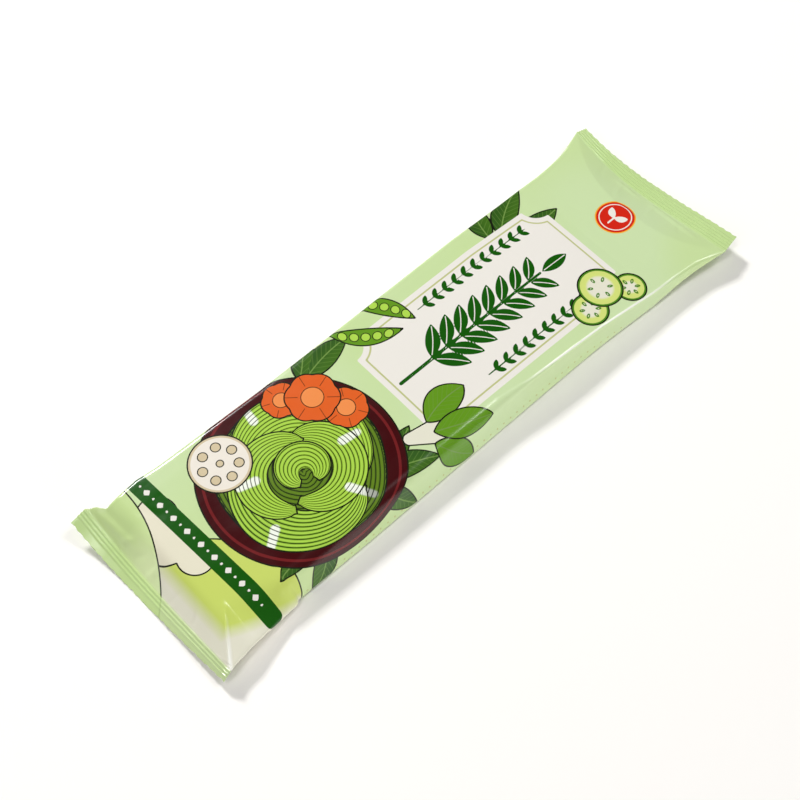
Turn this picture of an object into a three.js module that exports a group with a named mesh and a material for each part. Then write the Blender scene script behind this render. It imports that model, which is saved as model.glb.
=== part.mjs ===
// A shut pillow pack of dried noodles, lying on its back seam with its printed side up.
// X runs along the pack, Y across it, Z up; the origin is under the middle of the pack, on the table.
// The film is a tube. At both ends it is pressed flat and crimped into a seal, and between the seals
// it goes round the block of noodles, whose ends leave sloping, empty film before each seal.
import * as THREE from 'three';

// Driving dimensions, in millimetres. "Near" is the -X end, "left" the +Y side.
const FLAT_WIDTH = 70; // of the film tube, pressed flat
const THICKNESS = [[-108.8, 12], [42, 12], [84, 9], [108.8, 9]]; // over the noodles, and towards the far end
const SEAL_START = 108.8; // how far the seals' inner lines are from the middle
const SEAL_THICKNESS = 0.6;
const BLOCK_NEAR = -101.3; // where the block of noodles ends, at either end
const BLOCK_FAR = 78;
const NEAR_BEND = 2.2; // how far the film takes to bend down past the noodles
const FAR_BEND = 6;

// How deep the seals are at their left and right corners: the pack is cut a little askew.
const NEAR_DEPTH = { left: 6.2, right: 4.7 };
const FAR_DEPTH = { left: 5.5, right: 7.9 };
const FAR_CORNER_IN = 1.5; // how far in the far right corner is

// Crimps: ridges along each seal, next to the pack, and the teeth of its cut edge.
const RIDGES = 3;
const RIDGE_PITCH = 1.2;
const RIDGE_HEIGHT = 0.35;
const TEETH = 24;
const TOOTH_DEPTH = 0.4;

// The lengthwise back seam, folded flat under the pack.
const SEAM_WIDTH = 11.7;
const SEAM_THICKNESS = 0.35;

// How high the lines of the seals lie: at the left corner, at the right corner, and how far the middle sags.
const NEAR_INNER = { left: 8.4, right: 7.0, sag: 4.9 };
const NEAR_OUTER = { left: 6.8, right: 3.5, sag: 4.9 };
const FAR_INNER = { left: 8.2, right: 7.8, sag: 4.9 };
const FAR_OUTER = { left: 6.1, right: 7.5, sag: 3.7 };
const SAG_LEAN = 0.6; // moves the lowest point towards the left

// The film's edges on each side. Each list gives places along the pack and, there, how far from the
// middle line the top face ends, the side is widest and the bottom face ends. "rise" is how high the
// widest place is, from -1 at the bottom to 1 at the top, and "soft" how rounded the top edge is.
const RIGHT = {
  top: [[-108.8, 35], [-103.3, 26.3], [-97, 18.5], [-80, 25.5], [-50, 26.4], [10, 26.6], [30, 27.6], [54, 28.6],
    [72, 29.9], [88, 31], [98, 31.8], [108.8, 35]],
  fold: [[-108.8, 35], [-80, 31.5], [-78.6, 29.4], [45, 28.9], [78, 31.6], [91, 32.6], [100, 33.4], [108.8, 35]],
  rise: [[-108.8, 0], [-100, 0.17], [-80, -0.55], [-78.6, -0.3], [78, -0.5], [108.8, 0]],
  bottom: [[-108.8, 35], [-101, 29], [-80, 30.2], [-50, 30.8], [55, 30.6], [78, 31.2], [91, 31], [108.8, 35]],
  soft: [[-108.8, 0.3], [-100, 0.8], [-95, 4], [-80, 4], [10, 3.5], [24, 1.1], [90, 1], [98, 0.9], [108.8, 0.6]],
};
const LEFT = {
  top: [[-108.8, 35], [-106.2, 33], [-104.2, 29.8], [-101, 30], [-92, 30.9], [-85, 30.2], [-44, 29.4], [0, 29.7],
    [65, 30.4], [85, 30.8], [97, 31.6], [102, 32.4], [108.8, 35]],
  fold: [[-108.8, 35], [-104.5, 31], [-100, 30], [-44, 29.2], [65, 30], [90, 31], [108.8, 35]],
  rise: [[-108.8, 0], [108.8, 0]],
  bottom: [[-108.8, 35], [-100, 29.5], [-44, 28.6], [70, 29], [90, 30], [108.8, 35]],
  soft: [[-108.8, 0.3], [-100, 1], [-80, 1.6], [60, 1.6], [90, 1], [108.8, 0.6]],
};
const FOLD_SOFT = 1.5; // how rounded the film is where it is widest
const BOTTOM_SOFT = 2.5; // and at the bottom edges

// The empty film at the far end stands proud up to a curved crease.
const CREASE_MIDDLE = 96.5; // its place along the pack, on the middle line
const CREASE_LEAN = 1.2; // how much farther it is on the left than on the right
const CREASE_POWER = 2.4; // how square the curve is
const CREASE_LIFT = 2.8;

// Raised folds in the top film by the near seal: from and to, height and half width.
const FOLDS = [
  { from: [-107, 34.5], to: [-105.3, 12], height: 0.8, halfWidth: 1.9 },
  { from: [-106.8, 33.2], to: [-101.6, 28.6], height: 0.35, halfWidth: 1.6 },
  { from: [-111, -38], to: [-98, -19.8], height: 0.5, halfWidth: 1.3 },
];

// Slack of the film over the noodles.
const RIPPLE_HEIGHT = 0.22;
const RIPPLE_LENGTH = 47;
const CROWN = 0.35; // how much the top stands higher along its middle line

// Rows of the surface between the seals, closest where the film bends.
const ROWS = [-108.8, -107.5, -106.2, -104.9, -103.6, -102.3, -101, -99.2, -97, -92, -86, -80, -76, -62, -48, -33,
  -18, -3, 12, 27, 42, 54, 66, 75, 81, 87, 92, 96.5, 100.5, 104.5, 108.8];
const TOP_SHARE = 0.75; // of the columns between the middle line and the side: those on the top face
const EVEN_FROM = 0.8; // the taper past which columns spread evenly

const HALF_FLAT = FLAT_WIDTH / 2;

const clamp = (value) => Math.min(1, Math.max(0, value));
const lerp = (a, b, t) => a + (b - a) * t;
const smooth = (t) => t * t * (3 - 2 * t);

// 0 before 0 and t after it, with a rounded corner.
function ramp(t, soft) {
  if (t <= -soft) return 0;
  return t >= soft ? t : (t + soft) ** 2 / (4 * soft);
}

// A value that goes straight from one given point along the pack to the next.
function alongPack(points, x) {
  if (x <= points[0][0]) return points[0][1];
  const next = points.findIndex(([place]) => place >= x);
  if (next < 0) return points[points.length - 1][1];
  const [[start, low], [end, high]] = [points[next - 1], points[next]];
  return lerp(low, high, (x - start) / (end - start));
}

// Height of a seal line at a place across the pack.
function sealHeight(line, y) {
  const side = Math.min(1, Math.max(-1, y / HALF_FLAT));
  return lerp(line.right, line.left, (side + 1) / 2) - line.sag * (1 - side * side) * (1 + SAG_LEAN * side);
}

// 0 over the block of noodles, rising to 1 where a seal starts.
function taperAt(x) {
  return x < 0
    ? clamp(ramp(BLOCK_NEAR - x, NEAR_BEND) / (BLOCK_NEAR + SEAL_START))
    : clamp(ramp(x - BLOCK_FAR, FAR_BEND) / (SEAL_START - BLOCK_FAR));
}

// One side's outline at a station: half of the top face, the upper and lower halves of the wall, and
// half of the bottom face. It is a line of four straight parts, and "corners" are the places where they meet.
function outlineAt(x, side) {
  const taper = taperAt(x);
  const height = lerp(alongPack(THICKNESS, x), SEAL_THICKNESS, taper);
  const [top, fold, rise, bottom, soft] = ['top', 'fold', 'rise', 'bottom', 'soft'].map((k) => alongPack(side[k], x));
  const upper = ((1 - rise) * height) / 2;
  const lower = ((1 + rise) * height) / 2;
  const upperWall = Math.hypot(fold - top, upper);
  const lowerWall = Math.hypot(fold - bottom, lower);
  const corners = [top, top + upperWall, top + upperWall + lowerWall];
  return {
    taper,
    height,
    corners,
    whole: corners[2] + bottom,
    ways: [
      [1, 0],
      [(fold - top) / upperWall, -upper / upperWall],
      [(bottom - fold) / lowerWall, -lower / lowerWall],
      [-1, 0],
    ],
    softs: [soft, FOLD_SOFT, BOTTOM_SOFT].map((width) => Math.min(width, 0.35 * height)),
  };
}

// A point of that outline, by its distance round the film from the top's middle line.
function outlinePoint(outline, place) {
  const { height, corners, ways, softs } = outline;
  return corners.reduce(
    ({ y, z }, corner, k) => {
      const turn = ramp(place - corner, softs[k]);
      return { y: y + (ways[k + 1][0] - ways[k][0]) * turn, z: z + (ways[k + 1][1] - ways[k][1]) * turn };
    },
    { y: place, z: height / 2 },
  );
}

// Where a column of the mesh lies round the film, so that the edges stay on the same columns. Next to
// the seals, the columns spread evenly.
function columnPlace(outline, even) {
  const stops = [0, TOP_SHARE * HALF_FLAT, HALF_FLAT, (2 - TOP_SHARE) * HALF_FLAT, FLAT_WIDTH];
  const places = [0, ...outline.corners, outline.whole];
  const part = Math.min(3, stops.findIndex((_, k) => even <= stops[k + 1]));
  const along = lerp(places[part], places[part + 1], (even - stops[part]) / (stops[part + 1] - stops[part]));
  const spread = (even / FLAT_WIDTH) * outline.whole;
  return lerp(along, spread, smooth(clamp((outline.taper - EVEN_FROM) / (1 - EVEN_FROM))));
}

// How far the empty film at the far end stands above the straight slope.
function creaseLift(x, y) {
  if (x <= BLOCK_FAR) return 0;
  const side = y / HALF_FLAT;
  const bow = clamp(Math.abs(side)) ** CREASE_POWER;
  const crease = lerp(CREASE_MIDDLE, SEAL_START, bow) + CREASE_LEAN * side * (1 - bow);
  const rise = (x - BLOCK_FAR) / (crease - BLOCK_FAR);
  const fall = (SEAL_START - x) / Math.max(SEAL_START - crease, 1e-6);
  return CREASE_LIFT * (1 - bow) * clamp(Math.min(rise, fall));
}

// Height of the folds, each highest halfway along.
function foldHeight(x, y) {
  return FOLDS.reduce((sum, { from, to, height, halfWidth }) => {
    const run = [to[0] - from[0], to[1] - from[1]];
    const length = Math.hypot(...run);
    const along = ((x - from[0]) * run[0] + (y - from[1]) * run[1]) / length;
    const beside = ((y - from[1]) * run[0] - (x - from[0]) * run[1]) / length;
    const bow = clamp(1 - ((2 * along) / length - 1) ** 2);
    return sum + height * bow * smooth(clamp(1 - Math.abs(beside) / halfWidth));
  }, 0);
}

// Crown and ripples of the film over the noodles.
function slack(x, y, taper) {
  const across = Math.cos((Math.PI / 2) * clamp(Math.abs(y) / (0.83 * HALF_FLAT)));
  const ripple = Math.sin((2 * Math.PI * x) / RIPPLE_LENGTH) * Math.sin((Math.PI * (y + x / 3)) / RIPPLE_LENGTH);
  return (1 - taper) * across * (CROWN + RIPPLE_HEIGHT * ripple);
}

// A point of the film between the seals, by its column's even place round the film.
function bodyPoint(x, even) {
  const outline = outlineAt(x, even > 0 ? LEFT : RIGHT);
  const { taper, height } = outline;
  const point = outlinePoint(outline, columnPlace(outline, Math.abs(even)));
  const y = Math.sign(even) * point.y;
  const inner = sealHeight(x < 0 ? NEAR_INNER : FAR_INNER, y);
  const middle = lerp(alongPack(THICKNESS, x) / 2, inner, taper);
  const top = clamp((2 * point.z) / height) * (creaseLift(x, y) + foldHeight(x, y) + slack(x, y, taper));
  const besideSeam = Math.abs(y) > SEAM_WIDTH / 2 ? clamp((-2 * point.z) / height) : 0;
  return new THREE.Vector3(x, y, middle + point.z + top + besideSeam * SEAM_THICKNESS * (1 - taper));
}

// A point of a seal, by its distance from the pack, or of the cut edge when that distance is too great.
function sealPoint(end, distance, even, toothed) {
  const root = bodyPoint(end * SEAL_START, even);
  const [inner, outer, depths] = end < 0 ? [NEAR_INNER, NEAR_OUTER, NEAR_DEPTH] : [FAR_INNER, FAR_OUTER, FAR_DEPTH];
  const side = (root.y / HALF_FLAT + 1) / 2;
  const depth = lerp(depths.right, depths.left, side);
  const share = Math.min(1, distance / depth);
  const rise = sealHeight(outer, root.y) - sealHeight(inner, root.y);
  const run = Math.sqrt(depth ** 2 - rise ** 2);
  const reach = share - (toothed ? TOOTH_DEPTH / depth : 0);
  const aside = end > 0 ? FAR_CORNER_IN * reach * (1 - side) : 0;
  const height = root.z + rise * reach + ridge(share * depth);
  return new THREE.Vector3(root.x + end * run * reach, root.y + aside, height);
}

// Height of the crimp ridges at a distance into the seal.
function ridge(distance) {
  const turns = distance / RIDGE_PITCH;
  return turns > RIDGES ? 0 : RIDGE_HEIGHT * (1 - Math.abs(((turns * 2) % 2) - 1));
}

// Stations along the pack, each a function from a column's even place to a point.
function stations() {
  const ridgeRows = [...Array(RIDGES * 2).keys()].map((k) => ((k + 1) * RIDGE_PITCH) / 2);
  const sealStations = (end) => [
    ...ridgeRows.map((distance) => (even) => sealPoint(end, distance, even, false)),
    (even, tooth) => sealPoint(end, Infinity, even, tooth),
  ];
  const bodyStations = ROWS.map((x) => (even) => bodyPoint(x, even));
  return [...sealStations(-1).reverse(), ...bodyStations, ...sealStations(1)];
}

// The closed skin: a tube over all the stations, and a strip that joins the two films at each cut edge.
function packGeometry() {
  const perSide = TEETH * 2;
  const columns = perSide * 2;
  const rows = stations();
  const positions = [];
  for (const station of rows) {
    for (let column = 0; column < columns; column += 1) {
      const turned = -HALF_FLAT + (column * FLAT_WIDTH) / perSide;
      const even = turned > FLAT_WIDTH ? turned - 2 * FLAT_WIDTH : turned;
      positions.push(...station(even, column % 2 === 1).toArray());
    }
  }
  const faces = [];
  const quad = (a, b, c, d) => faces.push(a, b, c, a, c, d);
  const at = (row, column) => row * columns + (column % columns);
  for (let row = 0; row < rows.length - 1; row += 1) {
    for (let column = 0; column < columns; column += 1) {
      quad(at(row, column), at(row + 1, column), at(row + 1, column + 1), at(row, column + 1));
    }
  }
  for (const row of [0, rows.length - 1]) {
    for (let column = 0; column < perSide; column += 1) {
      const strip = [column, column + 1, columns - column - 1, columns - column].map((k) => at(row, k));
      const corners = row === 0 ? strip : strip.reverse();
      const solid = corners.filter((corner, k) => corner !== corners[(k + 1) % 4]);
      if (solid.length === 4) quad(...solid);
      else faces.push(...solid);
    }
  }
  const geometry = new THREE.BufferGeometry();
  geometry.setAttribute('position', new THREE.Float32BufferAttribute(positions, 3));
  geometry.setIndex(faces);
  geometry.computeBoundingBox();
  const { min, max } = geometry.boundingBox;
  geometry.translate(-(min.x + max.x) / 2, -(min.y + max.y) / 2, -min.z);
  geometry.computeVertexNormals();
  return geometry;
}

const film = new THREE.MeshStandardMaterial({ color: 0xc8dba9, roughness: 0.35, metalness: 0 });
const pack = new THREE.Mesh(packGeometry(), film);
pack.name = 'pack';

const group = new THREE.Group();
group.add(pack);

export default group;
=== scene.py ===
"""A shut pillow pack of dried noodles, lying printed side up on a pale floor."""
import math

import bmesh
import bpy
import numpy as np
from mathutils import Matrix, Vector


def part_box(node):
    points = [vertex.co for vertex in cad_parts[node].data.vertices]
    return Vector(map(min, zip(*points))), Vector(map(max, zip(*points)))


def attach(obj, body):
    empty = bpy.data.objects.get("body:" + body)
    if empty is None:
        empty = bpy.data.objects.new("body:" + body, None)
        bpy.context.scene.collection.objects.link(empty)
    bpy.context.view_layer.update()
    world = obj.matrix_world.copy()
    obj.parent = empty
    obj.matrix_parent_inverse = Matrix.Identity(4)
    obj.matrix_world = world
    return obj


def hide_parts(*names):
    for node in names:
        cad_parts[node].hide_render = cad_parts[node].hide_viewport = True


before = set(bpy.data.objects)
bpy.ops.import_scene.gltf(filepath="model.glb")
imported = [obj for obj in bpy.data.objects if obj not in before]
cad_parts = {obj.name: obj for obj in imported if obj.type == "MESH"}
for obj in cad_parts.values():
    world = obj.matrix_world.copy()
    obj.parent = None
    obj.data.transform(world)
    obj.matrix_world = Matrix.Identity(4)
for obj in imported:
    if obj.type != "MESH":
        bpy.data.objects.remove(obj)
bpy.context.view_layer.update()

# Lengths are in millimetres up to the point where a mesh is made. X runs along the pack, Y across it.
MM = 0.001

# The pack. "Near" is the -X end, "left" the +Y side.
LENGTH = 231.5
FLAT_WIDTH = 70.0
THICKNESS = ((-108.8, 12), (42, 12), (84, 9), (108.8, 9))
SEAL_START = 108.8  # how far the seals' inner lines are from the middle
SEAL_THICKNESS = 0.3
HALF_FLAT = FLAT_WIDTH / 2
BLOCK_NEAR = -101.3
BLOCK_FAR = 78.0
NEAR_BEND, FAR_BEND = 2.2, 6.0  # how far the film takes to bend down past the noodles' ends
# The film's edges on each side: how far they are from the middle line, at places along the pack.
# Each side has a top edge, a fold partway down its wall and a bottom edge. RISE is how far the fold is
# above the middle plane, as a share of half the thickness, and SOFT is how far the top edge is rounded.
RIGHT_TOP = ((-108.8, 35), (-103.3, 26.3), (-97, 18.5), (-80, 25.5), (-50, 26.4), (10, 26.6),
             (30, 27.6), (54, 28.6), (72, 29.9), (88, 31.0), (98, 31.8), (108.8, 35))
RIGHT_FOLD = ((-108.8, 35), (-80, 31.5), (-78.6, 29.4), (45, 28.9), (78, 31.6), (91, 32.6),
              (100, 33.4), (108.8, 35))
RIGHT_FOLD_RISE = ((-108.8, 0), (-100, 0.17), (-80, -0.55), (-78.6, -0.3), (78, -0.5), (108.8, 0))
RIGHT_BOTTOM = ((-108.8, 35), (-101, 29), (-80, 30.2), (-50, 30.8), (25, 30.6), (55, 30.6),
                (78, 31.2), (91, 31), (108.8, 35))
RIGHT_SOFT = ((-108.8, 0.3), (-100, 0.8), (-95, 4), (-80, 4), (10, 3.5), (24, 1.1),
              (90, 1.0), (98, 0.9), (108.8, 0.6))
LEFT_TOP = ((-108.8, 35), (-106.2, 33), (-104.2, 29.8), (-101, 30), (-92, 30.9), (-85, 30.2),
            (-44, 29.4), (0, 29.7), (65, 30.4), (85, 30.8), (97, 31.6), (102, 32.4), (108.8, 35))
LEFT_FOLD = ((-108.8, 35), (-104.5, 31), (-100, 30), (-44, 29.2), (65, 30), (90, 31), (108.8, 35))
LEFT_FOLD_RISE = ((-108.8, 0), (108.8, 0))
LEFT_BOTTOM = ((-108.8, 35), (-100, 29.5), (-44, 28.6), (70, 29), (90, 30), (108.8, 35))
LEFT_SOFT = ((-108.8, 0.3), (-100, 1.0), (-80, 1.6), (60, 1.6), (90, 1.0), (108.8, 0.6))
FOLD_SOFT, BOTTOM_SOFT = 1.5, 2.5  # how far the fold and the bottom edge are rounded
SOFT_SHARE = 0.35  # the most that an edge may be rounded, as a share of the thickness
# Heights of the seals' lines: at the left corner, at the right corner, and how far the middle sags.
NEAR_INNER = (8.4, 7.0, 4.9)
NEAR_OUTER = (6.8, 3.5, 4.9)
FAR_INNER = (8.2, 7.8, 4.9)
FAR_OUTER = (6.1, 7.5, 3.7)
SAG_LEAN = 0.6  # the share by which they sag more towards the left and less towards the right
# How deep the seals are at the left and right corners: the pack is cut a little askew.
NEAR_DEPTH = (6.2, 4.7)
FAR_DEPTH = (5.5, 7.9)
FAR_CORNER_IN = 1.5  # how far in the far right corner is
NEAR_RIDGES, FAR_RIDGES = 3, 5  # how many crimps each seal has
RIDGE_PITCH = 1.2
RIDGE_HEIGHT = 0.35
TEETH = 24  # of the zigzag cut
TOOTH_DEPTH = 0.4
SEAM_WIDTH = 11.7
SEAM_THICKNESS = 0.35
SEAM_EVEN = 5.1  # half the back seam's width, in the even places of the mesh's columns
SEAM_STEP = 0.3  # the width of the step at its edges
SEAM_PITCH = 1.6  # of its crimps
# Folds in the top film: where they start and end, their height (below 0 for a valley) and half width.
FOLDS = (
    ((-107.0, 34.5), (-105.3, 12.0), 0.8, 1.9),
    ((-106.8, 33.2), (-101.6, 28.6), 0.35, 1.6),
    ((-111.0, -38.0), (-98.0, -19.8), 0.5, 1.3),
    ((-108.8, 21.0), (-103.2, 15.5), 0.32, 1.5),
    ((-108.8, 15.5), (-104.2, 9.5), -0.24, 1.3),
    ((-108.8, 6.5), (-102.8, 3.0), 0.3, 1.6),
    ((-108.8, -4.5), (-103.8, -7.0), -0.2, 1.2),
    ((-108.8, -16.5), (-103.6, -14.0), -0.14, 1.0),
    ((108.6, 20.0), (101.5, 17.0), -0.14, 1.2),
    ((108.4, 11.0), (98.0, 6.5), 0.22, 1.6),
    ((108.4, -4.0), (100.0, -6.0), 0.16, 1.4),
    ((108.6, -15.0), (102.5, -19.0), -0.14, 1.2),
    ((106.4, 14.0), (106.4, 0.0), 0.45, 1.3),
    ((107.2, -1.0), (106.2, -25.0), 0.5, 1.4),
    ((-98.8, 24.0), (-93.0, 14.0), -0.12, 2.4),
    ((82.0, 27.0), (96.0, 20.0), -0.18, 2.6),
    ((84.0, -24.0), (97.0, -17.0), -0.18, 2.6),
)
# The empty film at the far end stands up to a curved crease, which ends in the seal's corners.
CREASE_MIDDLE = 96.5  # where it is halfway across
CREASE_LEAN = 1.2  # moves it outwards on the left and inwards on the right
CREASE_POWER = 2.4  # the higher, the straighter it is in the middle
CREASE_LIFT = 2.8
# The top film is a little crowned and rippled over the noodles.
CROWN = 0.35
CROWN_SHARE = 0.83  # how much of the width it takes
RIPPLE_HEIGHT = 0.22
RIPPLE_LENGTH = 47.0
RIPPLE_SLANT = 3  # along the pack, for each 1 across it

# The mesh.
BODY_STEP = 0.55  # how far apart the rows are over the noodles
SEAL_ROWS = 31  # how many there are in a seal
FINE_STEP = 0.4375  # how far apart the columns are on the print's face
WALL_STEP = 0.8  # and on the lower half of the walls
BACK_STEP = 2.2  # and under the pack
FINE_TO = 35.0  # how far round the film each of those goes
WALL_TO = 44.0
TOP_SHARE = 0.75  # the share of the columns that is on the top
EVEN_FROM = 0.8  # how far down a slope, 1 being its foot, the columns start to spread evenly
SHARP_ANGLE = 55  # between two faces, in degrees, from which their edge isn't smoothed
# The flat layout: how far it goes on past the pack's ends, and its heights at the back seam, at the
# foot of one wall, at the foot of the other and at the back seam again.
LAYOUT_MARGIN = 3
LAYOUT_HEIGHTS = (0.01, 0.12, 0.88, 0.99)


def lerp(a, b, t):
    return a + (b - a) * t


def smooth(t):
    t = np.clip(t, 0, 1)
    return t * t * (3 - 2 * t)


def ramp(t, soft):
    """0 before 0 and t after it, with a rounded corner."""
    return np.where(t < -soft, 0, np.where(t > soft, t, (t + soft) ** 2 / (4 * soft)))


def along_pack(points, x):
    """A value that goes straight from one given point along the pack to the next."""
    places, values = zip(*points)
    return np.interp(x, places, values)


# ---------------------------------------------------------------- the film's shape


def seal_height(line, y):
    """Height of a seal's line at a place across the pack."""
    left, right, sag = line
    side = np.clip(y / HALF_FLAT, -1, 1)
    return lerp(right, left, (side + 1) / 2) - sag * (1 - side**2) * (1 + SAG_LEAN * side)


def taper_at(x):
    """0 over the noodles, rising to 1 where a seal starts."""
    near = ramp(BLOCK_NEAR - x, NEAR_BEND) / (BLOCK_NEAR + SEAL_START)
    far = ramp(x - BLOCK_FAR, FAR_BEND) / (SEAL_START - BLOCK_FAR)
    return np.clip(np.where(x < 0, near, far), 0, 1)


def height_at(x):
    return lerp(along_pack(THICKNESS, x), SEAL_THICKNESS, taper_at(x))


def outline(x, even):
    """Place across, height over the middle plane and place round the film, for an even place."""
    height = height_at(x)
    sides = zip((LEFT_TOP, LEFT_FOLD, LEFT_FOLD_RISE, LEFT_BOTTOM, LEFT_SOFT),
                (RIGHT_TOP, RIGHT_FOLD, RIGHT_FOLD_RISE, RIGHT_BOTTOM, RIGHT_SOFT))
    top, fold, rise, bottom, soft = (
        np.where(even > 0, along_pack(left, x), along_pack(right, x)) for left, right in sides)
    half = height / 2
    upper, lower = (1 - rise) * half, (1 + rise) * half
    upper_wall, lower_wall = np.hypot(fold - top, upper), np.hypot(fold - bottom, lower)
    corners = [top, top + upper_wall, top + upper_wall + lower_wall]
    whole = corners[-1] + bottom
    place = column_place(np.abs(even), corners, whole, taper_at(x))
    ways = [(1, 0), ((fold - top) / upper_wall, -upper / upper_wall),
            ((bottom - fold) / lower_wall, -lower / lower_wall), (-1, 0)]
    y, z = place, half
    roundings = (soft, FOLD_SOFT, BOTTOM_SOFT)
    for before, after, corner, rounding in zip(ways, ways[1:], corners, roundings):
        turn = ramp(place - corner, np.minimum(rounding, SOFT_SHARE * height))
        y = y + (after[0] - before[0]) * turn
        z = z + (after[1] - before[1]) * turn
    side = np.sign(even)
    return side * y, z, side * place / whole * FLAT_WIDTH


def column_place(even, corners, whole, taper):
    """Where a column lies round the film, so that the edges stay between the same columns."""
    first, fold, last = TOP_SHARE * HALF_FLAT, HALF_FLAT, (2 - TOP_SHARE) * HALF_FLAT
    stops = [0, first, fold, last, FLAT_WIDTH]
    places = [0, *corners, whole]
    place = 0
    for (start, end), (low, high) in zip(zip(stops, stops[1:]), zip(places, places[1:])):
        place = place + (high - low) * np.clip((even - start) / (end - start), 0, 1)
    return lerp(place, even / FLAT_WIDTH * whole, smooth((taper - EVEN_FROM) / (1 - EVEN_FROM)))


def crease_lift(x, y):
    """How far the empty film at the far end stands above the straight slope."""
    side = np.clip(y / HALF_FLAT, -1, 1)
    bow = np.abs(side) ** CREASE_POWER
    crease = lerp(CREASE_MIDDLE, SEAL_START, bow) + CREASE_LEAN * side * (1 - bow)
    rise = (x - BLOCK_FAR) / (crease - BLOCK_FAR)
    fall = (SEAL_START - x) / np.maximum(SEAL_START - crease, 1e-6)
    return np.where(x > BLOCK_FAR, CREASE_LIFT * (1 - bow) * np.clip(np.minimum(rise, fall), 0, 1), 0)


def folds(x, y):
    """Small folds of the top film, each highest halfway along."""
    height = 0
    for start, end, fold_height, half_width in FOLDS:
        run = np.subtract(end, start)
        length = np.hypot(*run)
        along = ((x - start[0]) * run[0] + (y - start[1]) * run[1]) / length
        beside = ((y - start[1]) * run[0] - (x - start[0]) * run[1]) / length
        bow = np.clip(1 - (2 * along / length - 1) ** 2, 0, 1)
        across = np.clip(1 - np.abs(beside) / half_width, 0, 1)
        height = height + fold_height * bow * across * across * (3 - 2 * across)
    return height


def slack(x, y, taper):
    """Crown and ripples of the film over the noodles."""
    across = np.cos(math.pi / 2 * np.clip(np.abs(y) / (CROWN_SHARE * HALF_FLAT), 0, 1))
    slanted = np.sin(math.pi * (y + x / RIPPLE_SLANT) / RIPPLE_LENGTH)
    ripple = np.sin(2 * math.pi * x / RIPPLE_LENGTH) * slanted
    return (1 - taper) * across * (CROWN + RIPPLE_HEIGHT * ripple)


def body_points(x, even):
    """Points of the film between the seals, and their places round it."""
    taper = taper_at(x)
    height = height_at(x)
    y, z, around = outline(x, even)
    inner = np.where(x < 0, seal_height(NEAR_INNER, y), seal_height(FAR_INNER, y))
    middle = lerp(along_pack(THICKNESS, x) / 2, inner, taper)
    top = np.clip(2 * z / height, 0, 1) * (crease_lift(x, y) + folds(x, y) + slack(x, y, taper))
    beside_seam = smooth((FLAT_WIDTH - np.abs(even) - SEAM_EVEN) / SEAM_STEP + 0.5)
    beside_seam = beside_seam * np.clip(-2 * z / height, 0, 1)
    z = middle + z + top + beside_seam * SEAM_THICKNESS * (1 - taper)
    return np.stack([x, y, z], -1), around


def ridge(distance, count):
    """Height of a number of crimp ridges at a distance into a seal."""
    wave = 0.5 - 0.5 * np.cos(2 * math.pi * distance / RIDGE_PITCH)
    return np.where(distance < count * RIDGE_PITCH, RIDGE_HEIGHT * wave, 0)


def seal_points(end, share, even):
    """Points of the seal at one end: share goes from 0 at its inner line to 1 at the cut."""
    root, around = body_points(np.full(even.shape, end * SEAL_START), even)
    y = root[..., 1]
    near = (NEAR_INNER, NEAR_OUTER, NEAR_DEPTH, NEAR_RIDGES)
    far = (FAR_INNER, FAR_OUTER, FAR_DEPTH, FAR_RIDGES)
    inner, outer, depths, ridges = near if end < 0 else far
    side = (y / HALF_FLAT + 1) / 2
    depth = lerp(depths[1], depths[0], side)
    rise = seal_height(outer, y) - seal_height(inner, y)
    run = np.sqrt(depth**2 - rise**2)
    tooth = TOOTH_DEPTH * 2 * np.abs((y / FLAT_WIDTH * TEETH + 0.5) % 1 - 0.5)
    in_last_third = smooth(3 * share - 2)
    reach = share - tooth / depth * in_last_third
    root[..., 0] += end * run * reach
    root[..., 1] += FAR_CORNER_IN * reach * (1 - side) if end > 0 else 0
    root[..., 2] += rise * reach + ridge(share * depth, ridges)
    return root, around


def film_columns():
    """Even places of the mesh's columns, from one side of the back seam's middle round to the other."""
    fine = np.arange(0, FINE_TO, FINE_STEP)
    wall = np.arange(FINE_TO, WALL_TO, WALL_STEP)
    edge = FLAT_WIDTH - SEAM_EVEN
    before_step, after_step = edge - SEAM_STEP / 2, edge + SEAM_STEP / 2
    back_count = round((edge - WALL_TO) / BACK_STEP)
    back = np.linspace(WALL_TO, before_step, back_count, endpoint=False)
    seam = [before_step, edge, after_step, FLAT_WIDTH - SEAM_EVEN / 2]
    half = np.concatenate([fine, wall, back, seam])
    return np.concatenate([-half[:0:-1], half, [FLAT_WIDTH]])


def film_rows():
    """Places of the mesh's rows along the film; a seal is 1 long."""
    seal = np.linspace(0, 1, SEAL_ROWS + 1)[1:]
    body = np.linspace(-SEAL_START, SEAL_START, round(2 * SEAL_START / BODY_STEP) + 1)
    return np.concatenate([-SEAL_START - seal[::-1], body, SEAL_START + seal])


def film_grid():
    """Points of the film by row and column, with their places along and round it."""
    rows, columns = film_rows(), film_columns()
    along, even = np.meshgrid(rows, columns, indexing="ij")
    points, around = body_points(np.clip(along, -SEAL_START, SEAL_START), even)
    for end in (-1, 1):
        part = rows * end > SEAL_START
        points[part], around[part] = seal_points(end, end * along[part] - SEAL_START, even[part])
        along[part] = points[part][..., 0]
    return points, along, around


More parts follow.
